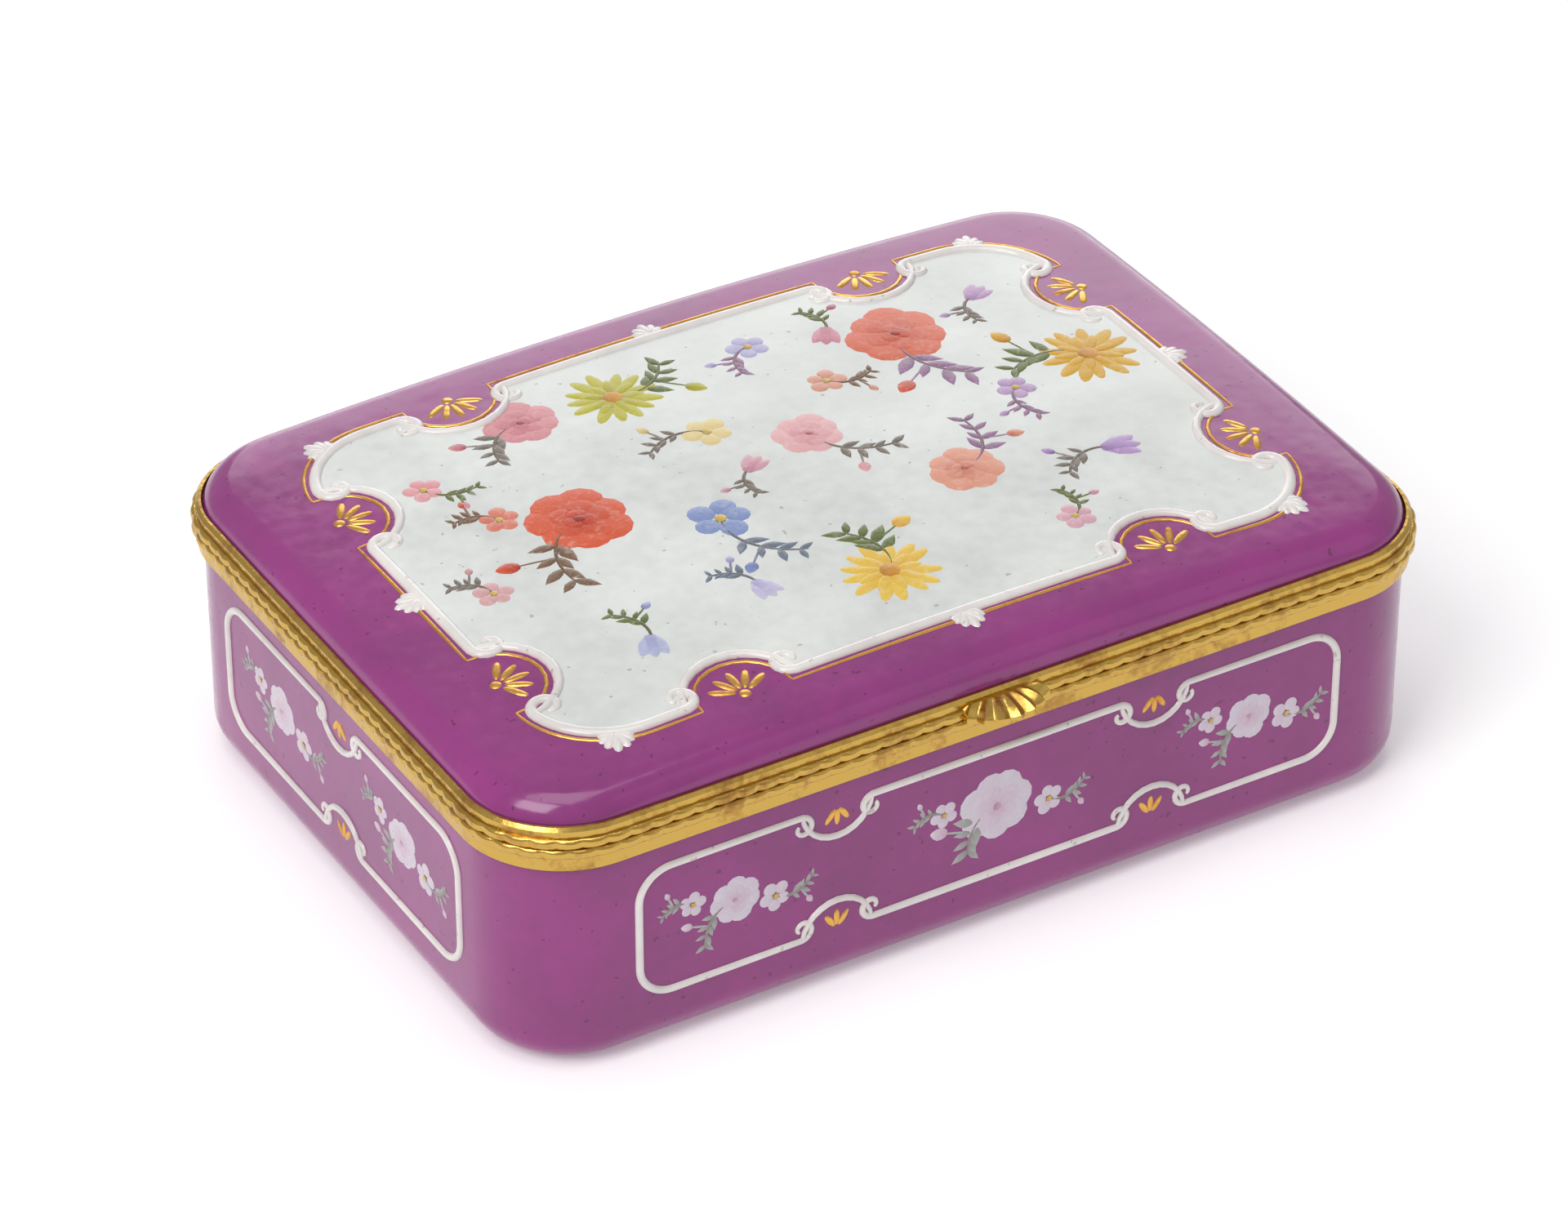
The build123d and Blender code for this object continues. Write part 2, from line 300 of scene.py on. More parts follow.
@dataclass(frozen=True)
class PaintFinish:
    """Overglaze paint: each touch has its own colour, kept on the mesh, under a thin gloss."""

    name: str
    layer: str = "paint"
    thinned: Colour = srgb(236, 238, 230)
    streaks_per_metre: float = 1300.0

    def build(self) -> bpy.types.Material:
        """Makes the material."""
        graph = Graph(self.name)
        paint = graph.node("ShaderNodeAttribute", "Color", {"attribute_name": self.layer})
        streaks = graph.noise(self.streaks_per_metre, 3.0, 1.2)
        return graph.surface(
            Base_Color=graph.mix(streaks.ramp(0.55, 0.75, 0.0, 0.22), paint, self.thinned),
            Roughness=streaks.ramp(0.3, 0.7, 0.2, 0.42),
            IOR=1.38,
            Coat_Weight=0.08,
            Coat_Roughness=0.1,
            Normal=graph.bump(streaks, 0.00008, 0.35),
        )


class Finishes:
    """Every material of the box, made once."""

    def __init__(self) -> None:
        """Builds all the finishes."""
        self.purple = EnamelFinish(
            "purple_enamel", srgb(134, 52, 116), srgb(150, 54, 128), srgb(78, 22, 64)
        ).build()
        self.white = EnamelFinish(
            "white_enamel",
            srgb(208, 211, 208),
            srgb(226, 229, 226),
            srgb(150, 146, 140),
            fleck_level=0.76,
            ripple=0.25,
            index=1.36,
            coat=0.06,
        ).build()
        self.raised = EnamelFinish(
            "raised_enamel",
            srgb(216, 210, 208),
            srgb(236, 231, 227),
            srgb(170, 160, 150),
            ripple=0.3,
        ).build()
        self.gilt = GiltFinish("gilt", srgb(202, 165, 84), srgb(152, 104, 56)).build()
        self.paint_gold = GiltFinish(
            "painted_gold", srgb(222, 172, 88), srgb(176, 110, 60), roughness=0.38
        ).build()
        self.copper = PlainFinish(
            "copper", srgb(205, 135, 105), srgb(160, 92, 66), metallic=1.0, roughness=0.4
        ).build()
        self.cement = PlainFinish("cement", srgb(205, 198, 182), srgb(165, 155, 136)).build()
        self.paint = PaintFinish("overglaze_paint").build()
        self.floor = Graph("studio_floor").surface(
            Base_Color=(0.93, 0.93, 0.935),
            Roughness=0.9,
            Emission_Color=PLAIN,
            Emission_Strength=0.22,
        )


@dataclass(frozen=True)
class BoxForm:
    """The box's main sizes, in millimetres, the same as the solids'."""

    length: float = 78.2
    depth: float = 54.9
    corner: float = 7.6
    dome_radius: float = 600.0
    crown: float = 24.8
    rim: float = 21.2
    shoulder: float = 2.2
    pan_rim: float = 18.85
    base_edge: float = 2.8
    coat: float = 0.5
    seam: float = 20.0
    seam_gap: float = 0.05

    def dome(self, x: float, y: float, inset: float = 0.0) -> float:
        """Height of the lid's dome over a point, for the coat at that inset."""
        radius = self.dome_radius - inset
        return self.crown - self.dome_radius + math.sqrt(radius * radius - x * x - y * y)


@dataclass(frozen=True)
class Loop:
    """A rounded rectangle sampled so that loops of any inset match point for point."""

    form: BoxForm
    corner_steps: int = 12
    long_steps: int = 26
    short_steps: int = 18
    least_radius: float = 0.4

    def points(self, inset: float) -> list[Point2]:
        """The loop's points, anticlockwise from the +X end of the front edge.

        Args:
            inset: Distance inward from the enamel's outer face.

        Returns:
            Points in millimetres, without a repeat of the first.
        """
        radius = max(self.form.corner - inset, self.least_radius)
        across = self.form.length / 2 - inset - radius
        up = self.form.depth / 2 - inset - radius
        hubs = ((across, -up), (across, up), (-across, up), (-across, -up))
        result: list[Point2] = []
        for number, (x, y) in enumerate(hubs):
            for step in range(self.corner_steps):
                turn = QUARTER * (number - 1 + step / self.corner_steps)
                result.append((x + radius * math.cos(turn), y + radius * math.sin(turn)))
            out = (radius * math.cos(QUARTER * number), radius * math.sin(QUARTER * number))
            next_x, next_y = hubs[(number + 1) % len(hubs)]
            steps = self.long_steps if number % 2 else self.short_steps
            for step in range(steps):
                hub = blend((x, y), (next_x, next_y), step / steps)
                result.append((hub[0] + out[0], hub[1] + out[1]))
        return result


def select_only(piece: bpy.types.Object) -> None:
    """Makes one object active and the only one selected."""
    bpy.ops.object.select_all(action="DESELECT")
    bpy.context.view_layer.objects.active = piece
    piece.select_set(True)


def settle(piece: bpy.types.Object, body: str, slot: str, *nodes: str) -> None:
    """Rides a piece on its body, hides the solids it replaces, and logs it."""
    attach(piece, body)
    if nodes:
        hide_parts(*nodes)
    LOG.info("%s rides on %s", piece.name, body)


class MeshMaker:
    """Gathers vertices, faces and colours, and ends them as one object."""

    def __init__(self) -> None:
        """Starts empty."""
        self.vertices: list[Vector] = []
        self.faces: list[tuple[int, ...]] = []
        self.colours: list[Colour] = []

    def add(
        self,
        points: Sequence[Vector],
        faces: Sequence[Sequence[int]],
        colour: Colour | list[Colour] = PLAIN,
    ) -> None:
        """Adds a closed piece.

        Args:
            points: Its vertices, in millimetres.
            faces: Its faces, numbered from the piece's own first vertex.
            colour: One colour for all, or a list with one for each vertex.
        """
        start = len(self.vertices)
        self.vertices.extend(points)
        self.faces.extend(tuple(start + index for index in face) for face in faces)
        self.colours.extend(colour if isinstance(colour, list) else [colour] * len(points))

    def tube(
        self, rings: Sequence[Sequence[Vector]], colour: Colour = PLAIN, loop: bool = False
    ) -> None:
        """Adds rings joined in order, with flat end caps, or joined end to end as a loop."""
        count = len(rings[0])
        faces: list[tuple[int, ...]] = []
        for row in range(len(rings) if loop else len(rings) - 1):
            here, there = row * count, (row + 1) % len(rings) * count
            for step in range(count):
                after = (step + 1) % count
                faces.append((here + step, here + after, there + after, there + step))
        if not loop:
            faces.append(tuple(reversed(range(count))))
            faces.append(tuple((len(rings) - 1) * count + step for step in range(count)))
        self.add([point for ring in rings for point in ring], faces, colour)

    def finish(
        self, name: str, material: bpy.types.Material, smooth_angle: float = 40.0
    ) -> bpy.types.Object:
        """Makes the object, turns its normals outward and shades it.

        Args:
            name: The piece's name.
            material: Its finish.
            smooth_angle: Edges sharper than this many degrees stay sharp.

        Returns:
            The finished object, in metres, at the origin.
        """
        mesh = bpy.data.meshes.new(name)
        mesh.from_pydata([point * MM for point in self.vertices], [], self.faces)
        layer = mesh.color_attributes.new(PaintFinish.layer, "FLOAT_COLOR", "POINT")
        for item, colour in zip(layer.data, self.colours):
            item.color = (*colour, 1.0)
        mesh.materials.append(material)
        made = bpy.data.objects.new(name, mesh)
        bpy.context.collection.objects.link(made)
        select_only(made)
        bpy.ops.object.mode_set(mode="EDIT")
        bpy.ops.mesh.select_all(action="SELECT")
        bpy.ops.mesh.normals_make_consistent(inside=False)
        bpy.ops.object.mode_set(mode="OBJECT")
        bpy.ops.object.shade_smooth_by_angle(angle=math.radians(smooth_angle))
        return made


@dataclass
class CoatShell:
    """One fused coat of the lid or the pan, closed between its outer and inner faces."""

    form: BoxForm
    outer: float
    is_lid: bool
    arc_steps: int = 9
    wall_steps: int = 4
    least_rise: float = 0.02
    cap_inset: float = 4.0
    cap_scales: tuple[float, ...] = (
        1.0, 0.93, 0.85, 0.76, 0.66, 0.55, 0.44, 0.33, 0.22, 0.12, 0.04, 0.004,
    )  # fmt: skip

    def _lid_face(self, inset: float) -> list[list[Vector]]:
        """Rings of one face of the lid, from the rim to the crown."""
        loop = Loop(self.form)
        radius = self.form.shoulder - inset
        rings = [[Vector((x, y, self.form.rim)) for x, y in loop.points(inset)]]
        for step in range(self.arc_steps + 1):
            turn = QUARTER * step / self.arc_steps
            least = self.form.rim + self.least_rise * (step + 1)
            drop = radius * (1 - math.sin(turn))
            ring = loop.points(inset + radius * (1 - math.cos(turn)))
            rings.append(
                [Vector((x, y, max(self.form.dome(x, y, inset) - drop, least))) for x, y in ring]
            )
        return rings + self._cap(lambda x, y: self.form.dome(x, y, inset))

    def _pan_face(self, inset: float) -> list[list[Vector]]:
        """Rings of one face of the pan, from the rim to the middle of the base."""
        loop = Loop(self.form)
        radius = self.form.base_edge - inset
        levels = []
        for step in range(self.wall_steps):
            share = step / self.wall_steps
            fall = (self.form.base_edge - self.form.pan_rim) * share
            levels.append((inset, self.form.pan_rim + fall))
        for step in range(self.arc_steps + 1):
            turn = QUARTER * step / self.arc_steps
            level = inset + radius * (1 - math.sin(turn))
            levels.append((inset + radius * (1 - math.cos(turn)), level))
        rings = [[Vector((x, y, level)) for x, y in loop.points(place)] for place, level in levels]
        return rings + self._cap(lambda x, y: inset)

    def _cap(self, height: Callable[[float, float], float]) -> list[list[Vector]]:
        """Rings that shrink towards the middle at the given height."""
        edge = Loop(self.form).points(self.cap_inset)
        return [
            [Vector((x * scale, y * scale, height(x * scale, y * scale))) for x, y in edge]
            for scale in self.cap_scales
        ]

    def build(self, name: str, material: bpy.types.Material) -> bpy.types.Object:
        """Builds the coat as one closed piece."""
        face = self._lid_face if self.is_lid else self._pan_face
        maker = MeshMaker()
        inner = self.outer + self.form.coat
        maker.tube(list(reversed(face(self.outer))) + face(inner))
        return maker.finish(name, material, 50.0)


def build_coats(form: BoxForm, finishes: Finishes, part: str, body: str) -> None:
    """Builds and places the outer enamel and the counter-enamel of the lid or the pan.

    Args:
        form: The box's sizes.
        finishes: Its materials.
        part: "lid" or "body", which begins the names of pieces and nodes.
        body: The moving body that carries them.
    """
    is_lid = part == "lid"
    enamel = CoatShell(form, 0.0, is_lid).build(f"{part}_enamel_coat", finishes.purple)
    settle(enamel, body, "purple_enamel", f"{part}_enamel")
    inside = CoatShell(form, 2 * form.coat, is_lid).build(f"{part}_counter_coat", finishes.white)
    settle(inside, body, "white_enamel", f"{part}_counter_enamel")


@dataclass
class ChannelMount:
    """A gilt channel mount swept round the rim, reeded along its bead and cut for the hinge."""

    form: BoxForm
    seam: float
    toward: int
    lap: float
    lip_lap: float
    lip_inner: float
    reed_phase: float = 0.0
    proud: float = 0.9
    band: float = 0.5
    bead: float = 0.8
    round_over: float = 0.32
    web: float = 0.8
    bedding: float = 0.35
    fit: float = 0.05
    lip_inset: float = 1.55
    reed_points: int = 6
    reed_depth: float = 0.16
    reed_sharpness: float = 1.5
    arc_steps: int = 4
    hinge: Point2 = (29.1, 20.025)
    channel_radius: float = 1.22
    channel_length: float = 42.12

    def profile(self) -> list[tuple[float, float, float]]:
        """The half section as (out, along the height, share of the reeding)."""
        middle = self.proud - self.round_over
        turns = [QUARTER * step / self.arc_steps for step in range(self.arc_steps + 1)]
        points: list[tuple[float, float, float]] = []
        for turn in turns:
            share, fall = math.sin(turn), 1 - math.cos(turn)
            points.append((middle + self.round_over * share, self.round_over * fall, share))
        for turn in turns:
            share, along = math.cos(turn), self.bead - self.round_over * (1 - math.sin(turn))
            points.append((middle + self.round_over * share, along, share))
        end = self.web + self.bedding + self.lap
        lip_end = self.web + self.bedding + self.lip_lap
        points += [
            (self.band, self.bead, 0.0),
            (self.band, end - self.band / 2, 0.0),
            (self.band / 2, end, 0.0),
            (self.fit, end, 0.0),
            (self.fit, self.web, 0.0),
            (-self.lip_inset, self.web, 0.0),
            (-self.lip_inset, lip_end, 0.0),
            (-self.lip_inner, lip_end, 0.0),
            (-self.lip_inner, 0.0, 0.0),
        ]
        return points

    def build(self, name: str, material: bpy.types.Material) -> bpy.types.Object:
        """Builds the mount and cuts the hinge channel out of it."""
        loop = Loop(self.form, corner_steps=42, long_steps=222, short_steps=150)
        rings = []
        for out, along, share in self.profile():
            ring = []
            pairs = zip(loop.points(-out), loop.points(-out + self.reed_depth))
            for number, (high, low) in enumerate(pairs):
                turn = math.pi * (number + self.reed_phase) / self.reed_points
                dip = share * (1 - abs(math.cos(turn))) ** self.reed_sharpness
                ring.append(Vector((*blend(high, low, dip), self.seam + self.toward * along)))
            rings.append(ring)
        maker = MeshMaker()
        maker.tube(rings, loop=True)
        made = maker.finish(name, material, 35.0)
        self._cut_channel(made)
        return made

    def _cut_channel(self, piece: bpy.types.Object) -> None:
        """Cuts the round channel that lets the hinge into the mount."""
        bpy.ops.mesh.primitive_cylinder_add(
            vertices=48,
            radius=self.channel_radius * MM,
            depth=self.channel_length * MM,
            location=(0.0, self.hinge[0] * MM, self.hinge[1] * MM),
            rotation=(0.0, QUARTER, 0.0),
        )
        cutter = bpy.context.object
        cut = piece.modifiers.new("channel", "BOOLEAN")
        cut.operation = "DIFFERENCE"
        cut.solver = "EXACT"
        cut.object = cutter
        select_only(piece)
        bpy.ops.object.modifier_apply(modifier=cut.name)
        bpy.data.objects.remove(cutter, do_unlink=True)


class Surface:
    """A face of the box that ornament lies on."""

    def place(self, u: float, v: float, height: float) -> Vector:
        """The point at (u, v) on the face, that high above it, in millimetres."""
        raise NotImplementedError


@dataclass(frozen=True)
class DomeSurface(Surface):
    """The lid's dome, raised by a thickness; u and v are the box's X and Y."""

    form: BoxForm
    thickness: float = 0.0

    def place(self, u: float, v: float, height: float) -> Vector:
        """The point over (u, v), that high above the raised dome."""
        return Vector((u, v, self.form.dome(u, v) + (self.thickness + height)))


@dataclass(frozen=True)
class WallSurface(Surface):
    """A wall of the pan, turned about Z by angle from the front; v is the height."""

    half: float
    angle: float

    def place(self, u: float, v: float, height: float) -> Vector:
        """The point at (u, v) on the wall, that far out of it."""
        turn = Matrix.Rotation(math.radians(self.angle), 3, "Z")
        return turn @ Vector((u, -self.half - height, v))


@dataclass(frozen=True)
class Fan:
    """A fan of drops round a hub; the middle drops may be longer than the outer ones."""

    side: int
    step: float
    reach: float
    length: float
    width: float
    height: float
    point: float = 0.0
    swell: float = 0.0
    swell_reach: float = 0.4


@dataclass
class Brush:
    """Lays ribbons and drops of enamel or paint on a surface, into one mesh."""

    surface: Surface
    seed: int = 0
    maker: MeshMaker = field(default_factory=MeshMaker)
    sunk: float = 0.04
    arc_steps: int = 6
    belly: float = 0.3
    point_power: float = 1.5
    taper_power: float = 0.6

    def __post_init__(self) -> None:
        """Takes the drop's shape from a low sphere."""
        self.draws = random.Random(self.seed)
        bpy.ops.mesh.primitive_uv_sphere_add(segments=12, ring_count=6, radius=1.0)
        sphere = bpy.context.object
        self.drop_points = [vertex.co.copy() for vertex in sphere.data.vertices]
        self.drop_faces = [tuple(face.vertices) for face in sphere.data.polygons]
        bpy.data.objects.remove(sphere, do_unlink=True)

    def drop(
        self,
        centre: Sequence[float],
        length: float,
        width: float,
        angle: float,
        height: float,
        colours: tuple[Colour, Colour] = (PLAIN, PLAIN),
        base: float = 0.0,
        point: float = 0.0,
    ) -> None:
        """Lays a low drop, such as a petal or a leaf.

        Args:
            centre: Its middle on the surface.
            length: Its length.
            width: Its greatest width.
            angle: Direction of its length, in radians.
            height: How high it stands over its base.
            colours: Its colours at the near and the far end.
            base: Height of its base above the surface.
            point: How much its far end narrows, 0 to 1, or widens, below 0.
        """
        cosine, sine = math.cos(angle), math.sin(angle)
        points, tints = [], []
        for corner in self.drop_points:
            along = corner.x * length / 2
            narrow = 1.0 - point * max(0.0, corner.x) ** self.point_power
            across = corner.y * width / 2 * narrow
            u = centre[0] + along * cosine - across * sine
            v = centre[1] + along * sine + across * cosine
            lift = corner.z if corner.z > 0 else corner.z * self.belly
            points.append(self.surface.place(u, v, base + lift * height))
            tints.append(blend(colours[0], colours[1], (corner.x + 1) / 2))
        self.maker.add(points, self.drop_faces, tints)

    def fan(self, hub: Vector, out: float, fan: Fan) -> None:
        """Lays a fan of drops that spreads from a hub in the direction out, in radians."""
        for offset in range(-fan.side, fan.side + 1):
            swell = fan.swell * (1.0 - abs(offset) / (fan.side + 1))
            turn = out + offset * fan.step
            spot = hub + heading(turn) * (fan.reach + swell * fan.swell_reach)
            length = fan.length + swell
            self.drop(spot, length, fan.width, turn, fan.height, point=fan.point)

    def ribbon(
        self,
        path: Sequence[Sequence[float]],
        width: float,
        height: float,
        ends: float,
        colour: Colour = PLAIN,
    ) -> None:
        """Lays a raised, rounded line along a path.

        Args:
            path: Points on the surface.
            width: Its full width at the middle.
            height: How high its ridge stands.
            ends: Its width at its ends, as a share of the middle's.
            colour: Its colour.
        """
        rings = []
        last = len(path) - 1
        turns = [math.pi * step / self.arc_steps for step in range(self.arc_steps + 1)]
        for number, (u, v) in enumerate(path):
            before, after = path[max(number - 1, 0)], path[min(number + 1, last)]
            way = Vector((after[0] - before[0], after[1] - before[1])).normalized()
            rise = math.sin(math.pi * (number / last)) ** self.taper_power
            taper = ends + (1 - ends) * rise
            half = width / 2 * taper
            section = [(half * math.cos(turn), height * taper * math.sin(turn)) for turn in turns]
            section += [(-half, -self.sunk), (half, -self.sunk)]
            ring = []
            for aside, up in section:
                ring.append(self.surface.place(u - way.y * aside, v + way.x * aside, up))
            rings.append(ring)
        self.maker.tube(rings, colour)


def curled(
    path: Sequence[Point2],
    radius: float,
    turns: float = 0.85,
    steps: int = 15,
    shrink: float = 0.68,
) -> list[Point2]:
    """Adds a spiral to both ends of a path, turning to the left of its travel.

    Args:
        path: The middle of the scroll.
        radius: Radius of each spiral where it begins.
        turns: How many turns each spiral makes.
        steps: How many points each spiral has.
        shrink: How much of its radius a spiral loses on its way.

    Returns:
        The whole scroll's path.
    """

    def spiral(end: Point2, inner: Point2, way: int) -> list[Point2]:
        """The spiral that leaves end, away from inner."""
        ahead = Vector((end[0] - inner[0], end[1] - inner[1])).normalized()
        centre = Vector(end) + Vector((-ahead.y, ahead.x)) * radius * way
        spoke = Vector(end) - centre
        points = []
        for step in range(1, steps + 1):
            share = step / steps
            turn, size = way * math.tau * turns * share, 1.0 - shrink * share
            cosine, sine = math.cos(turn) * size, math.sin(turn) * size
            x = centre.x + spoke.x * cosine - spoke.y * sine
            points.append((x, centre.y + spoke.x * sine + spoke.y * cosine))
        return points

    head = list(reversed(spiral(path[0], path[1], -1)))
    return head + list(path) + spiral(path[-1], path[-2], 1)


@dataclass(frozen=True)
class Span:
    """One stretch of a frame: a bay along its edge, or a notch bitten into it."""

    points: tuple[Point2, ...]
    notch: bool

    def mouth(self) -> tuple[Vector, float]:
        """The middle of a notch's mouth, and the direction from it to the notch's depth."""
        hub = (Vector(self.points[0]) + Vector(self.points[-1])) / 2
        deep = Vector(self.points[len(self.points) // 2]) - hub
        return hub, math.atan2(deep.y, deep.x)


@dataclass(frozen=True)
class NotchedFrame:
    """The outline of a reserve with round corners and round notches, as on the solids."""

    width: float
    height: float
    corner: float
    notch: float
    notch_x: tuple[float, ...]
    notch_y: tuple[float, ...] = ()
    centre: Point2 = (0.0, 0.0)
    arc_steps: int = 12
    line_pitch: float = 0.8
    halvings: int = 20
    same_spot: float = 1e-4
    same_join: float = 1e-3

    def _rim(self, inset: float) -> list[Vector]:
        """The plain rounded rectangle at an inset, as close points, anticlockwise."""
        radius = self.corner - inset
        across, up = self.width / 2 - self.corner, self.height / 2 - self.corner
        points: list[Vector] = []
        for quarter, (side_x, side_y) in enumerate(((1, -1), (1, 1), (-1, 1), (-1, -1))):
            hub = Vector((across * side_x, up * side_y))
            for step in range(self.arc_steps + 1):
                turn = QUARTER * (quarter - 1 + step / self.arc_steps)
                points.append(hub + heading(turn) * radius)
        dense: list[Vector] = []
        for here, there in zip(points, (*points[1:], points[0])):
            steps = max(1, int((there - here).length / self.line_pitch))
            dense.extend(here.lerp(there, step / steps) for step in range(steps))
        return dense

    def _hubs(self) -> list[Vector]:
        """The middles of the notches, on the outline itself."""
        across, up = self.width / 2, self.height / 2
        hubs = [Vector((place, side)) for place in self.notch_x for side in (-up, up)]
        hubs += [Vector((side, place)) for place in self.notch_y for side in (-across, across)]
        return hubs

    def spans(self, inset: float) -> list[Span]:
        """The outline, cut where its notches begin and end.

        Args:
            inset: How far inside the outline the spans run.

        Returns:
            The spans in order, anticlockwise.
        """
        bite = self.notch + inset
        rim = self._rim(inset)
        hubs = self._hubs()
        owner = [
            next((hub for hub in hubs if (spot - hub).length < bite), None) for spot in rim
        ]
        count = len(rim)
        first = next(n for n in range(count) if owner[n] is not None and owner[n - 1] is None)
        rim, owner = rim[first:] + rim[:first], owner[first:] + owner[:first]
        spans: list[Span] = []
        start = 0
        while start < count:
            end = start
            while end < count and owner[end] is owner[start]:
                end += 1
            before, after = rim[start - 1], rim[end % count]
            hub = owner[start]
            if hub is None:
                run = rim[start:end]
                enter = self._crossing(run[0], before, owner[start - 1], bite)
                leave = self._crossing(run[-1], after, owner[end % count], bite)
                run = [enter, *run, leave]
            else:
                enter = self._crossing(before, rim[start], hub, bite) - hub
                leave = self._crossing(after, rim[end - 1], hub, bite) - hub
                turn = math.atan2(enter.y, enter.x)
                sweep = (turn - math.atan2(leave.y, leave.x)) % math.tau / self.arc_steps
                run = [hub + heading(turn - sweep * n) * bite for n in range(self.arc_steps + 1)]
            spans.append(Span(tuple(self._moved(run)), hub is not None))
            start = end
        return spans

    def _crossing(self, outer: Vector, inner: Vector, hub: Vector, bite: float) -> Vector:
        """Where the line from a free point to a notched one meets the notch circle."""
        low, high = 0.0, 1.0
        for _ in range(self.halvings):
            middle = (low + high) / 2
            if (outer.lerp(inner, middle) - hub).length > bite:
                low = middle
            else:
                high = middle
        return outer.lerp(inner, low)

    def _moved(self, points: Sequence[Vector]) -> list[Point2]:
        """The points, moved to the frame's centre, without repeats."""
        result: list[Point2] = []
        for x, y in points:
            spot = (x + self.centre[0], y + self.centre[1])
            if not result or math.dist(result[-1], spot) > self.same_spot:
                result.append(spot)
        return result

    def outline(self, inset: float) -> list[Point2]:
        """The whole outline as one closed list of points."""
        result: list[Point2] = []
        for spot in (spot for span in self.spans(inset) for spot in span.points):
            if not result or math.dist(result[-1], spot) > self.same_join:
                result.append(spot)
        if math.dist(result[0], result[-1]) < self.same_join:
            result.pop()
        return result


@dataclass
class DrapedPlate:
    """A thin plate of enamel that fills an outline and follows the surface under it."""

    surface: Surface
    outline: Sequence[Point2]
    height: float
    sunk: float = 0.05
    pitch: float = 2.0

    def build(self, name: str, material: bpy.types.Material) -> bpy.types.Object:
        """Builds the plate as one closed piece."""
        points = [Vector(spot) for spot in self.outline]
        ring = list(range(len(points)))
        low_u, high_u = min(spot.x for spot in points), max(spot.x for spot in points)
        low_v, high_v = min(spot.y for spot in points), max(spot.y for spot in points)
        for column in range(1, int((high_u - low_u) / self.pitch)):
            for row in range(1, int((high_v - low_v) / self.pitch)):
                points.append(Vector((low_u + column * self.pitch, low_v + row * self.pitch)))
        flat, _, faces, *_ = delaunay_2d_cdt(points, [], [ring], 1, 1e-5)
        count = len(flat)
        top = [self.surface.place(spot.x, spot.y, self.height) for spot in flat]
        bottom = [self.surface.place(spot.x, spot.y, -self.sunk) for spot in flat]
        edges = [pair for face in faces for pair in zip(face, (*face[1:], face[0]))]
        known = set(edges)
        sides = [
            (here, here + count, there + count, there)
            for here, there in edges
            if (there, here) not in known
        ]
        bases = [tuple(count + index for index in reversed(face)) for face in faces]
        maker = MeshMaker()
        maker.add(top + bottom, faces + bases + sides)
        return maker.finish(name, material, 35.0)


class Kind(Enum):
    """The heads of flower that the sprays use."""

    ROSE = "rose"
    DAISY = "daisy"
    BELL = "bell"
    STAR = "star"


@dataclass(frozen=True)
class Petals:
    """One ring of petals round a head; its lengths are shares of the head's size."""

    count: int
    reach: float
    length: float
    width: float
    tint: float
    base: float = 0.0
    height: float = 0.05


@dataclass(frozen=True)
class Heart:
    """A head's middle; without a colour it has the flower's inner one."""

    size: float
    base: float
    colour: Colour | None = None
    height: float = 0.05
    shadow: Colour = srgb(80, 40, 20)


HEADS: dict[Kind, tuple[tuple[Petals, ...], Heart]] = {
    Kind.ROSE: (
        (
            Petals(7, 0.58, 0.86, 0.9, 0.15),
            Petals(5, 0.36, 0.66, 0.66, 0.55, base=0.02),
            Petals(3, 0.16, 0.42, 0.46, 0.9, base=0.04),
        ),
        Heart(0.26, 0.06),
    ),
    Kind.DAISY: (
        (Petals(13, 0.58, 0.92, 0.3, 0.3), Petals(9, 0.38, 0.6, 0.24, 0.6, base=0.03)),
        Heart(0.46, 0.05, srgb(214, 150, 50)),
    ),
    Kind.STAR: (
        (Petals(5, 0.5, 0.72, 0.7, 0.25, height=0.06),),
        Heart(0.32, 0.05, srgb(222, 190, 90)),
    ),
}


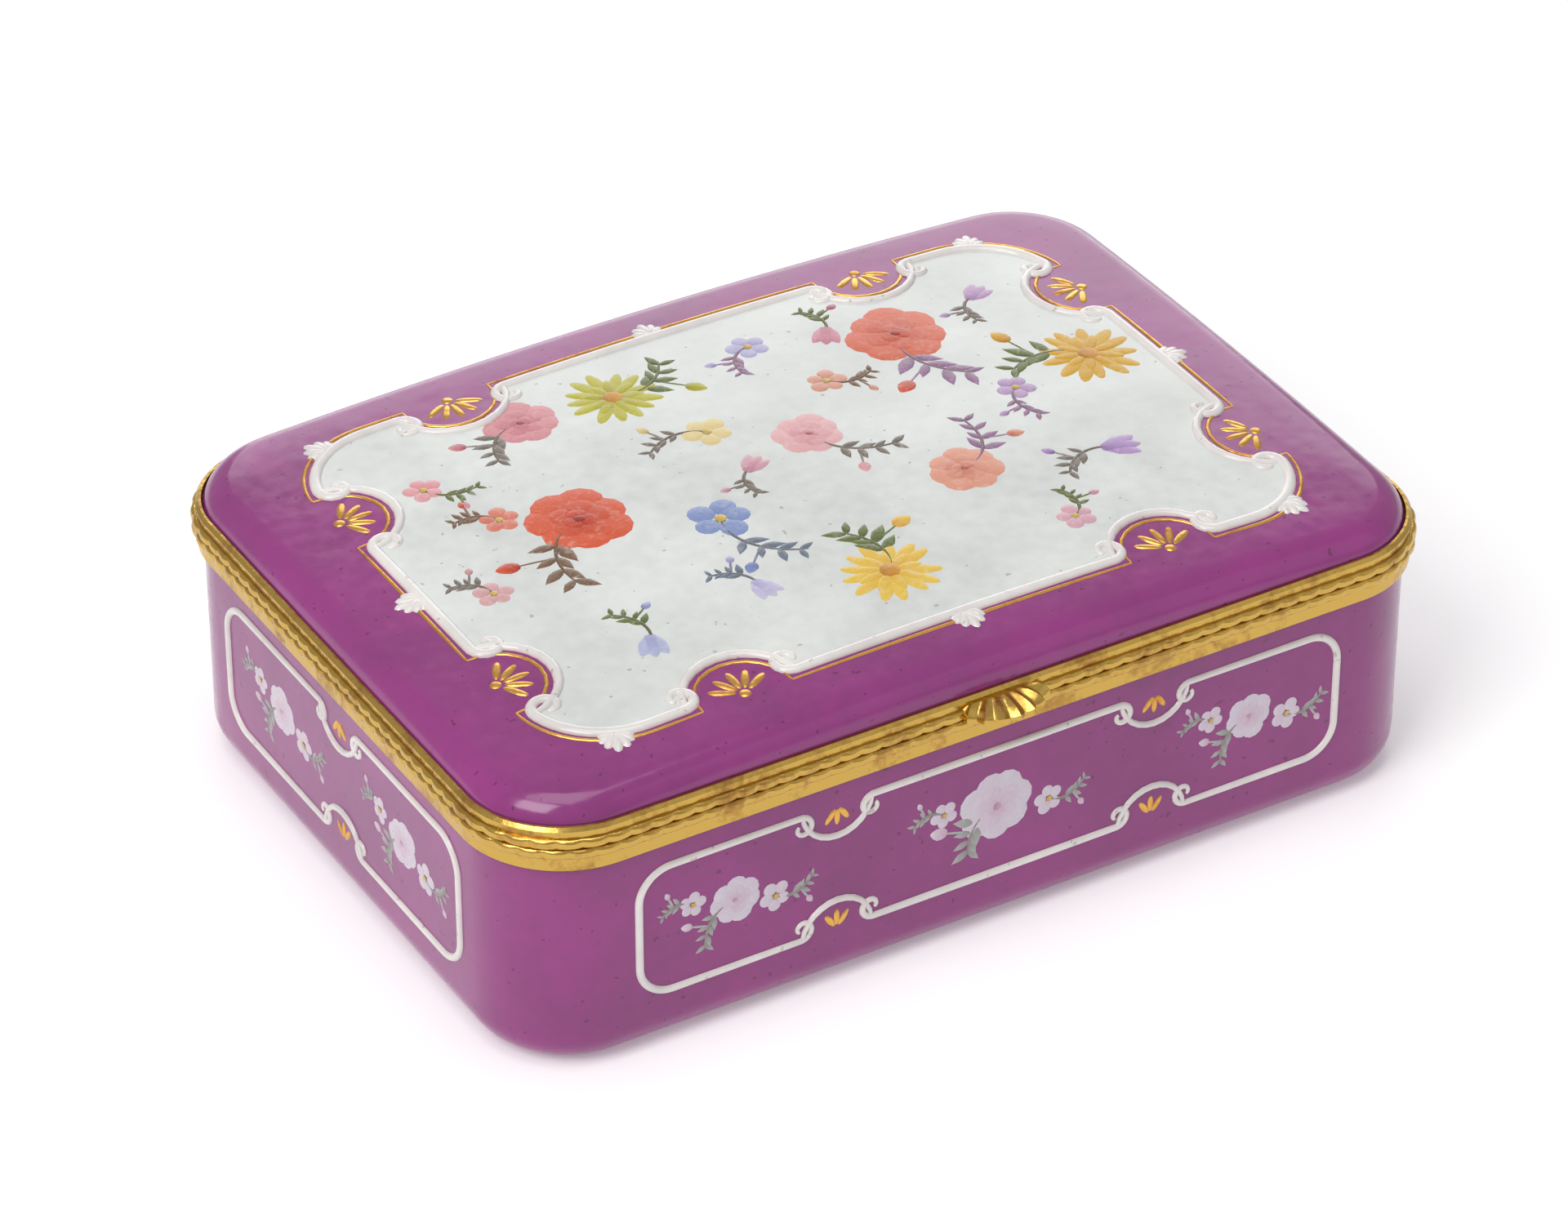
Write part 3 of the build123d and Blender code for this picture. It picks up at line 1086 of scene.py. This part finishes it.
@dataclass(frozen=True)
class Spray:
    """One painted flower on its stem, with leaves and a bud; angles are in degrees."""

    kind: Kind
    spot: Point2
    size: float
    inner: Colour
    outer: Colour
    stem_angle: float
    leaf: Colour
    stem_length: float = 2.1
    bend: float = 0.9
    stem_steps: int = 12
    leaf_shares: tuple[float, ...] = (0.45, 0.62, 0.78, 0.94)
    bud_share: float = 0.62
    bud_turn: float = 1.2
    bark: Colour = srgb(90, 70, 50)
    leaf_shadow: Colour = srgb(60, 62, 40)

    def paint(self, brush: Brush) -> None:
        """Paints the stem, the leaves, the bud and then the head."""
        self._stem(brush)
        if self.kind is Kind.BELL:
            self._bell(brush)
            return
        rings, heart = HEADS[self.kind]
        for petals in rings:
            self._ring(brush, petals)
        size = heart.size * self.size
        colour = heart.colour or self.inner
        pair = (blend(colour, heart.shadow, 0.4), colour)
        brush.drop(self.spot, size, size, 0.0, heart.height, pair, heart.base)

    def _along(self, share: float) -> tuple[Vector, float]:
        """A point of the stem and the stem's direction there."""
        reach = self.size * self.stem_length * share
        way = math.radians(self.stem_angle) + self.bend * (share - 0.3)
        return Vector(self.spot) + heading(way) * reach, way + self.bend * share * 0.5

    def _stem(self, brush: Brush) -> None:
        """A thin curved stem with paired leaves and one bud."""
        path = [self._along(step / self.stem_steps)[0] for step in range(self.stem_steps + 1)]
        brush.ribbon(path, 0.28, 0.06, 0.5, blend(self.leaf, self.bark, 0.5))
        pair = (blend(self.leaf, self.leaf_shadow, 0.45), self.leaf)
        for share in self.leaf_shares:
            spot, way = self._along(share)
            for side in (-1, 1):
                length = self.size * brush.draws.uniform(0.55, 0.8) * (1.15 - share * 0.45)
                turn = way + side * brush.draws.uniform(0.7, 1.0)
                centre = spot + heading(turn) * length * 0.5
                brush.drop(centre, length, length * 0.42, turn, 0.06, pair, point=0.9)
            if share == self.bud_share:
                self._bud(brush, spot, way - self.bud_turn)

    def _bud(self, brush: Brush, spot: Vector, turn: float) -> None:
        """A closed bud on a short stalk that leaves the stem at a spot."""
        centre = spot + heading(turn) * self.size * 0.95
        brush.ribbon([spot, (spot + centre) / 2, centre], 0.2, 0.05, 0.6, self.leaf)
        pair = (self.inner, self.outer)
        brush.drop(centre, self.size * 0.5, self.size * 0.36, turn, 0.08, pair, point=0.5)

    def _ring(self, brush: Brush, petals: Petals) -> None:
        """One ring of petals round the head's middle, each a little different."""
        start = brush.draws.uniform(0, math.tau)
        for number in range(petals.count):
            angle = start + math.tau * number / petals.count + brush.draws.uniform(-0.12, 0.12)
            size = self.size * brush.draws.uniform(0.92, 1.08)
            shade = min(1.0, max(0.0, petals.tint + brush.draws.uniform(-0.15, 0.15)))
            reach = petals.reach * size
            u, v = self.spot[0] + math.cos(angle) * reach, self.spot[1] + math.sin(angle) * reach
            near = blend(self.outer, self.inner, shade)
            pair = (near, blend(near, self.outer, 0.75))
            length, width = petals.length * size, petals.width * size
            brush.drop((u, v), length, width, angle, petals.height, pair, petals.base)

    def _bell(self, brush: Brush) -> None:
        """Three broad pointed petals over each other."""
        for turn, tint in ((-0.5, 0.2), (0.5, 0.35), (0.0, 0.75)):
            way = math.radians(self.stem_angle) + math.pi + turn
            u = self.spot[0] + math.cos(way) * self.size * 0.35
            v = self.spot[1] + math.sin(way) * self.size * 0.35
            pair = (blend(self.outer, self.inner, tint), self.outer)
            length, width = self.size * 1.4, self.size * 0.72
            brush.drop((u, v), length, width, way, 0.06, pair, 0.02 * tint, 0.55)


GREEN = srgb(110, 122, 68)
GREY_LEAF = srgb(132, 120, 112)
BROWN_LEAF = srgb(132, 98, 76)
MAUVE = srgb(162, 122, 160)
SLATE_LEAF = srgb(120, 130, 150)

LID_SPRAYS: tuple[Spray, ...] = tuple(
    Spray(kind, spot, size, srgb(*inner), srgb(*outer), angle, leaf, stem)
    for kind, spot, size, inner, outer, angle, leaf, stem in (
        (Kind.ROSE, (-17.6, 2.4), 3.9, (166, 34, 16), (214, 92, 58), 205, BROWN_LEAF, 2.1),
        (Kind.STAR, (-22.6, 5.6), 1.9, (170, 60, 50), (216, 130, 110), 120, BROWN_LEAF, 1.8),
        (Kind.DAISY, (-7.4, 15.6), 3.6, (150, 140, 30), (190, 184, 70), 350, GREEN, 1.7),
        (Kind.ROSE, (-15.0, 16.2), 2.9, (176, 84, 100), (212, 144, 150), 190, GREY_LEAF, 1.9),
        (Kind.ROSE, (15.8, 12.6), 3.9, (176, 48, 28), (214, 108, 80), 250, MAUVE, 2.1),
        (Kind.BELL, (11.4, 15.6), 2.0, (166, 90, 110), (206, 140, 156), 60, GREEN, 1.8),
        (Kind.DAISY, (27.2, 3.0), 3.9, (190, 128, 16), (214, 170, 54), 140, GREEN, 1.7),
        (Kind.ROSE, (10.2, -6.4), 2.9, (190, 100, 84), (220, 154, 130), 25, MAUVE, 2.4),
        (Kind.DAISY, (-1.6, -15.0), 3.7, (208, 148, 20), (228, 194, 84), 60, GREEN, 1.6),
        (Kind.STAR, (-8.8, -3.0), 2.9, (86, 102, 156), (136, 152, 196), 262, SLATE_LEAF, 2.6),
        (Kind.ROSE, (2.6, 3.4), 2.7, (196, 116, 130), (224, 174, 176), 285, GREY_LEAF, 2.5),
        (Kind.STAR, (-3.8, 7.6), 2.2, (196, 166, 96), (224, 204, 148), 150, GREY_LEAF, 2.4),
        (Kind.BELL, (21.4, -9.0), 2.3, (136, 100, 160), (182, 152, 198), 165, GREY_LEAF, 2.2),
        (Kind.STAR, (-25.4, 12.2), 1.9, (186, 98, 110), (222, 158, 164), 300, GREEN, 2.2),
        (Kind.BELL, (-20.6, -13.4), 2.0, (130, 130, 180), (178, 184, 212), 70, GREEN, 2.2),
        (Kind.STAR, (5.0, 16.6), 2.0, (140, 130, 180), (186, 180, 210), 200, MAUVE, 2.0),
        (Kind.BELL, (24.0, 14.6), 1.9, (150, 110, 160), (190, 156, 194), 210, GREY_LEAF, 2.0),
        (Kind.STAR, (14.0, -15.6), 1.8, (180, 120, 140), (214, 168, 180), 40, GREEN, 2.0),
        (Kind.BELL, (-10.6, -11.6), 1.9, (150, 140, 190), (196, 190, 216), 100, SLATE_LEAF, 2.0),
        (Kind.STAR, (19.6, 1.4), 1.9, (146, 112, 160), (188, 158, 194), 230, MAUVE, 2.2),
        (Kind.BELL, (-3.6, 1.6), 1.8, (176, 110, 130), (208, 160, 172), 215, GREY_LEAF, 1.9),
        (Kind.STAR, (7.6, 9.2), 1.9, (180, 110, 96), (214, 158, 138), 320, BROWN_LEAF, 2.0),
        (Kind.STAR, (-27.4, -2.4), 1.8, (178, 120, 126), (214, 168, 168), 100, GREY_LEAF, 1.9),
    )
)


@dataclass(frozen=True)
class ScrollFrame:
    """A raised frame: a curled scroll on each bay and a plain arc round each notch."""

    width: float
    height: float
    curl: float
    bay_share: float = 0.95
    bay_ends: float = 0.45
    notch_share: float = 0.8
    notch_ends: float = 0.6

    def lay(self, brush: Brush, span: Span) -> None:
        """Lays one span of the frame."""
        if span.notch:
            brush.ribbon(span.points, self.width * self.notch_share, self.height, self.notch_ends)
            return
        path = curled(span.points, self.curl)
        brush.ribbon(path, self.width * self.bay_share, self.height, self.bay_ends)


@dataclass
class LidDress:
    """The lid's enamel coats, white reserve, scroll frame, sprays and painted gold."""

    form: BoxForm
    finishes: Finishes
    outline: NotchedFrame = NotchedFrame(65.0, 44.5, 7.0, 4.0, (-18.0, 18.0), (-12.0, 12.0))
    scroll: ScrollFrame = ScrollFrame(1.0, 0.36, 1.3)
    shell: Fan = Fan(3, 0.42, 0.48, 1.2, 0.85, 0.27, point=-0.15, swell=1.3)
    gold_fan: Fan = Fan(2, 0.52, 1.65, 2.1, 0.62, 0.1, point=-0.2)
    gold_inset: float = -0.35
    gold_width: float = 0.34
    gold_height: float = 0.1
    gold_ends: float = 0.5
    gold_bead: float = 0.9
    plate_share: float = 0.7
    plate_height: float = 0.05
    spray_seed: int = 13

    def build(self) -> None:
        """Builds and places every piece."""
        build_coats(self.form, self.finishes, "lid", "lid")
        dome = DomeSurface(self.form)
        edge = self.outline.outline(self.scroll.width * self.plate_share)
        plate = DrapedPlate(dome, edge, self.plate_height)
        reserve = plate.build("lid_white_reserve", self.finishes.white)
        settle(reserve, "lid", "white_enamel", "lid_reserve")
        self._scrolls(Brush(dome))
        self._gold(Brush(dome))
        self._sprays(Brush(DomeSurface(self.form, self.plate_height), self.spray_seed))

    def _scrolls(self, brush: Brush) -> None:
        """The raised frame, with a small shell at the middle of each bay."""
        for span in self.outline.spans(self.scroll.width / 2):
            self.scroll.lay(brush, span)
            if not span.notch:
                self._shell(brush, span.points)
        piece = brush.maker.finish("lid_raised_scrolls", self.finishes.raised)
        settle(piece, "lid", "raised_enamel", "lid_scroll_frame")

    def _shell(self, brush: Brush, path: Sequence[Point2]) -> None:
        """A small white shell at the middle of one bay, fanned outward."""
        reach = [0.0]
        for here, there in zip(path, path[1:]):
            reach.append(reach[-1] + math.dist(here, there))
        middle = next(number for number, run in enumerate(reach) if run >= reach[-1] / 2)
        way = (Vector(path[middle + 1]) - Vector(path[middle - 1])).normalized()
        brush.fan(Vector(path[middle]), math.atan2(-way.x, way.y), self.shell)

    def _gold(self, brush: Brush) -> None:
        """Gold paint: a line just outside the frame and a fan in each notch."""
        for span in self.outline.spans(self.gold_inset):
            brush.ribbon(span.points, self.gold_width, self.gold_height, self.gold_ends)
        for span in self.outline.spans(0.0):
            if span.notch:
                hub, out = span.mouth()
                brush.fan(hub, out, self.gold_fan)
                brush.drop(hub, self.gold_bead, self.gold_bead, 0.0, self.gold_height)
        piece = brush.maker.finish("lid_gold_lines", self.finishes.paint_gold)
        settle(piece, "lid", "gilt")

    def _sprays(self, brush: Brush) -> None:
        """The scattered flower sprays on the reserve."""
        for spray in LID_SPRAYS:
            spray.paint(brush)
        piece = brush.maker.finish("lid_flower_sprays", self.finishes.paint, 60.0)
        settle(piece, "lid", "white_enamel")


class Wall(Enum):
    """The pan's walls, each with its turn about Z from the front, in degrees."""

    FRONT = 0.0
    RIGHT = 90.0
    BACK = 180.0
    LEFT = 270.0


@dataclass
class BodyDress:
    """The pan's enamel coats and the ornament of its four walls."""

    form: BoxForm
    finishes: Finishes
    panel_height: float = 11.6
    panel_bottom: float = 4.6
    panel_margin: float = 9.0
    panel_corner: float = 3.0
    notch: float = 2.6
    long_notches: tuple[float, ...] = (-13.5, 13.5)
    short_notches: tuple[float, ...] = (0.0,)
    long_sprays: tuple[float, ...] = (-22.0, 0.0, 22.0)
    short_sprays: tuple[float, ...] = (-9.5, 9.5)
    scroll: ScrollFrame = ScrollFrame(0.66, 0.28, 0.95)
    gold_fan: Fan = Fan(1, 0.6, 1.0, 1.4, 0.5, 0.1)
    first_seed: int = 31
    pale: Colour = srgb(212, 202, 214)
    blush: Colour = srgb(204, 164, 186)
    leaf: Colour = srgb(178, 176, 176)

    def build(self) -> None:
        """Builds and places every piece."""
        build_coats(self.form, self.finishes, "body", "base")
        for number, wall in enumerate(Wall):
            self._dress_wall(wall, self.first_seed + number)

    def _dress_wall(self, wall: Wall, seed: int) -> None:
        """One wall's raised scrolls, gold touches and small sprays."""
        name = wall.name.lower()
        if wall in (Wall.FRONT, Wall.BACK):
            run, half, notches = self.form.length, self.form.depth / 2, self.long_notches
            places = self.long_sprays
        else:
            run, half, notches = self.form.depth, self.form.length / 2, self.short_notches
            places = self.short_sprays
        surface = WallSurface(half, wall.value)
        middle = self.panel_bottom + self.panel_height / 2
        panel = NotchedFrame(
            run - 2 * self.panel_margin,
            self.panel_height,
            self.panel_corner,
            self.notch,
            notches,
            centre=(0.0, middle),
        )
        scrolls, gold = Brush(surface), Brush(surface)
        for span in panel.spans(self.scroll.width / 2):
            self.scroll.lay(scrolls, span)
            if span.notch:
                gold.fan(*span.mouth(), self.gold_fan)
        piece = scrolls.maker.finish(f"{name}_raised_scrolls", self.finishes.raised)
        settle(piece, "base", "raised_enamel", f"{name}_wall_scroll")
        piece = gold.maker.finish(f"{name}_gold_touches", self.finishes.paint_gold)
        settle(piece, "base", "gilt")
        brush = Brush(surface, seed)
        for place in places:
            self._bunch(brush, place, middle)
        piece = brush.maker.finish(f"{name}_sprays", self.finishes.paint, 60.0)
        settle(piece, "base", "white_enamel")

    def _bunch(self, brush: Brush, place: float, height: float) -> None:
        """A pale rose between two small flowers; the one at a wall's middle is larger."""
        big = 3.1 if place == 0.0 else 2.0
        near = big + 1.4
        for kind, u, v, size, angle, stem in (
            (Kind.ROSE, place, height + 0.4, big, 200, 4.2 / big),
            (Kind.STAR, place + near, height - 0.6, 1.5, 340, 2.2),
            (Kind.STAR, place - near, height + 1.2, 1.3, 150, 2.0),
        ):
            spray = Spray(kind, (u, v), size, self.blush, self.pale, angle, self.leaf, stem)
            spray.paint(brush)


@dataclass
class ThumbShell:
    """The thumbpiece: a small ribbed shell that stands out of the front of the lid mount."""

    centre_y: float = -25.75
    radius: float = 4.2
    scallop: float = 0.396
    root: float = 2.1
    least_run: float = 0.05
    spread: float = 58.0
    seat: float = 20.05
    thickness: float = 1.1
    flute: float = 0.22
    underside: float = 0.12
    ribs: int = 7
    turn_steps: int = 84
    reach_steps: int = 8

    def build(self, name: str, material: bpy.types.Material) -> bpy.types.Object:
        """Builds the shell as one closed piece."""
        rings = []
        for step in range(self.turn_steps + 1):
            share = step / self.turn_steps
            away = math.radians(self.spread) * (2 * share - 1)
            rib = abs(math.cos(math.pi * self.ribs * share))
            near = self.root / math.cos(away)
            rim = max(self.radius + self.scallop * (1 - rib) ** 0.5, near + self.least_run)
            top, bottom = [], []
            for place in range(self.reach_steps + 1):
                along = place / self.reach_steps
                reach = near + (rim - near) * along
                x, y = reach * math.sin(away), self.centre_y - reach * math.cos(away)
                dip = self.flute * rib * min(1.0, along * 2)
                rise = self.thickness * (1 - 0.5 * along**3) - dip
                top.append(Vector((x, y, self.seat + rise)))
                bottom.append(Vector((x, y, self.seat + self.underside * along)))
            rings.append(top + list(reversed(bottom)))
        maker = MeshMaker()
        maker.tube(rings)
        return maker.finish(name, material, 45.0)


@dataclass
class Metalwork:
    """The gilt mounts, and the finishes of the metal pieces that keep their own solids."""

    form: BoxForm
    finishes: Finishes

    def build(self) -> None:
        """Builds the mounts and dresses the rest."""
        gilt = self.finishes.gilt
        body = ChannelMount(
            self.form, self.form.seam, -1, lap=1.0, lip_lap=1.2, lip_inner=2.25, reed_phase=3.0
        )
        settle(body.build("body_reeded_mount", gilt), "base", "gilt", "body_mount")
        seat = self.form.seam + self.form.seam_gap
        lid = ChannelMount(self.form, seat, 1, lap=0.45, lip_lap=0.7, lip_inner=2.05)
        settle(lid.build("lid_reeded_mount", gilt), "lid", "gilt", "lid_mount")
        settle(ThumbShell().build("thumb_shell", gilt), "lid", "gilt", "thumbpiece")
        for name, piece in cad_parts.items():
            material = gilt
            if "copper" in name:
                material = self.finishes.copper
            elif "bedding" in name:
                material = self.finishes.cement
            piece.data.materials.clear()
            piece.data.materials.append(material)


@dataclass(frozen=True)
class Lamp:
    """A soft square light aimed at the box; place and size are in metres, power in watts."""

    name: str
    place: tuple[float, float, float]
    size: float
    power: float
    colour: Colour = PLAIN
    aim_height: float = 0.012

    def hang(self) -> None:
        """Makes the light and turns it to the box."""
        data = bpy.data.lights.new(self.name, "AREA")
        data.size = self.size
        data.energy = self.power
        data.color = self.colour
        light = bpy.data.objects.new(self.name, data)
        bpy.context.collection.objects.link(light)
        turn = (Vector((0.0, 0.0, self.aim_height)) - Vector(self.place)).to_track_quat("-Z", "Y")
        light.matrix_world = Matrix.Translation(self.place) @ turn.to_matrix().to_4x4()


@dataclass(frozen=True)
class Studio:
    """Camera, lights and floor that match the photograph."""

    floor: bpy.types.Material
    back: tuple[float, float, float] = (-0.42086, -0.70836, 0.56666)
    right: tuple[float, float, float] = (0.85971, -0.51078, 0.0)
    up: tuple[float, float, float] = (0.28944, 0.48716, 0.82395)
    distance: float = 480.3
    aim_height: float = 10.99
    shift: Point2 = (1.376, -0.528)
    lens: float = 146.19
    sensor: float = 36.0
    picture: tuple[int, int] = (1920, 1498)
    floor_size: float = 6.0
    floor_drop: float = 0.00002
    sky: Colour = (0.97, 0.98, 1.0)
    sky_strength: float = 0.33
    glossy_white: float = 0.4
    lamps: tuple[Lamp, ...] = (
        Lamp("key", (-0.42, -0.18, 0.52), 0.34, 2.15, (1.0, 0.99, 0.97)),
        Lamp("fill", (0.45, -0.50, 0.40), 0.5, 0.2, (0.97, 0.98, 1.0)),
        Lamp("top", (-0.07, -0.04, 0.66), 0.4, 1.3),
        Lamp("rear", (0.31, 0.53, 0.17), 0.42, 1.0),
    )

    def build(self) -> None:
        """Sets the whole stage."""
        self._camera()
        bpy.ops.mesh.primitive_plane_add(
            size=self.floor_size, location=(0.0, 0.0, -self.floor_drop)
        )
        floor = bpy.context.object
        floor.name = "studio_floor"
        floor.data.materials.append(self.floor)
        self._world()
        for lamp in self.lamps:
            lamp.hang()
        scene = bpy.context.scene
        scene.view_settings.view_transform = "Standard"
        scene.render.resolution_x, scene.render.resolution_y = self.picture

    def _camera(self) -> None:
        """The camera at the photograph's place, with its lens."""
        data = bpy.data.cameras.new("photo_camera")
        data.lens = self.lens
        data.sensor_width = self.sensor
        data.clip_start = 0.01
        camera = bpy.data.objects.new("photo_camera", data)
        bpy.context.collection.objects.link(camera)
        back, right, up = Vector(self.back), Vector(self.right), Vector(self.up)
        place = Vector((0, 0, self.aim_height)) + back * self.distance
        place -= right * self.shift[0] + up * self.shift[1]
        rotation = Matrix((right, up, back)).transposed()
        camera.matrix_world = Matrix.Translation(place * MM) @ rotation.to_4x4()
        bpy.context.scene.camera = camera

    def _world(self) -> None:
        """Even light, which camera rays see as pure white and glossy rays as partly so."""
        world = bpy.data.worlds.new("studio")
        bpy.context.scene.world = world
        world.use_nodes = True
        tree = world.node_tree
        tree.nodes.clear()
        kinds = ("OutputWorld", "LightPath", "Background", "Background", "MixShader", "Math")
        made = [tree.nodes.new(f"ShaderNode{kind}") for kind in kinds]
        output, paths, soft, white, mixer, share = made
        soft.inputs["Color"].default_value = (*self.sky, 1.0)
        soft.inputs["Strength"].default_value = self.sky_strength
        white.inputs["Strength"].default_value = 1.0
        share.operation = "MULTIPLY_ADD"
        share.inputs[1].default_value = self.glossy_white
        for source, target in (
            (paths.outputs["Is Glossy Ray"], share.inputs[0]),
            (paths.outputs["Is Camera Ray"], share.inputs[2]),
            (share.outputs[0], mixer.inputs[0]),
            (soft.outputs[0], mixer.inputs[1]),
            (white.outputs[0], mixer.inputs[2]),
            (mixer.outputs[0], output.inputs["Surface"]),
        ):
            tree.links.new(source, target)


def main() -> None:
    """Builds the box, its dress and the studio."""
    logging.basicConfig(level=logging.INFO)
    form = BoxForm()
    finishes = Finishes()
    Metalwork(form, finishes).build()
    BodyDress(form, finishes).build()
    LidDress(form, finishes).build()
    Studio(finishes.floor).build()
    bpy.context.view_layer.update()


if __name__ == "__main__":
    main()
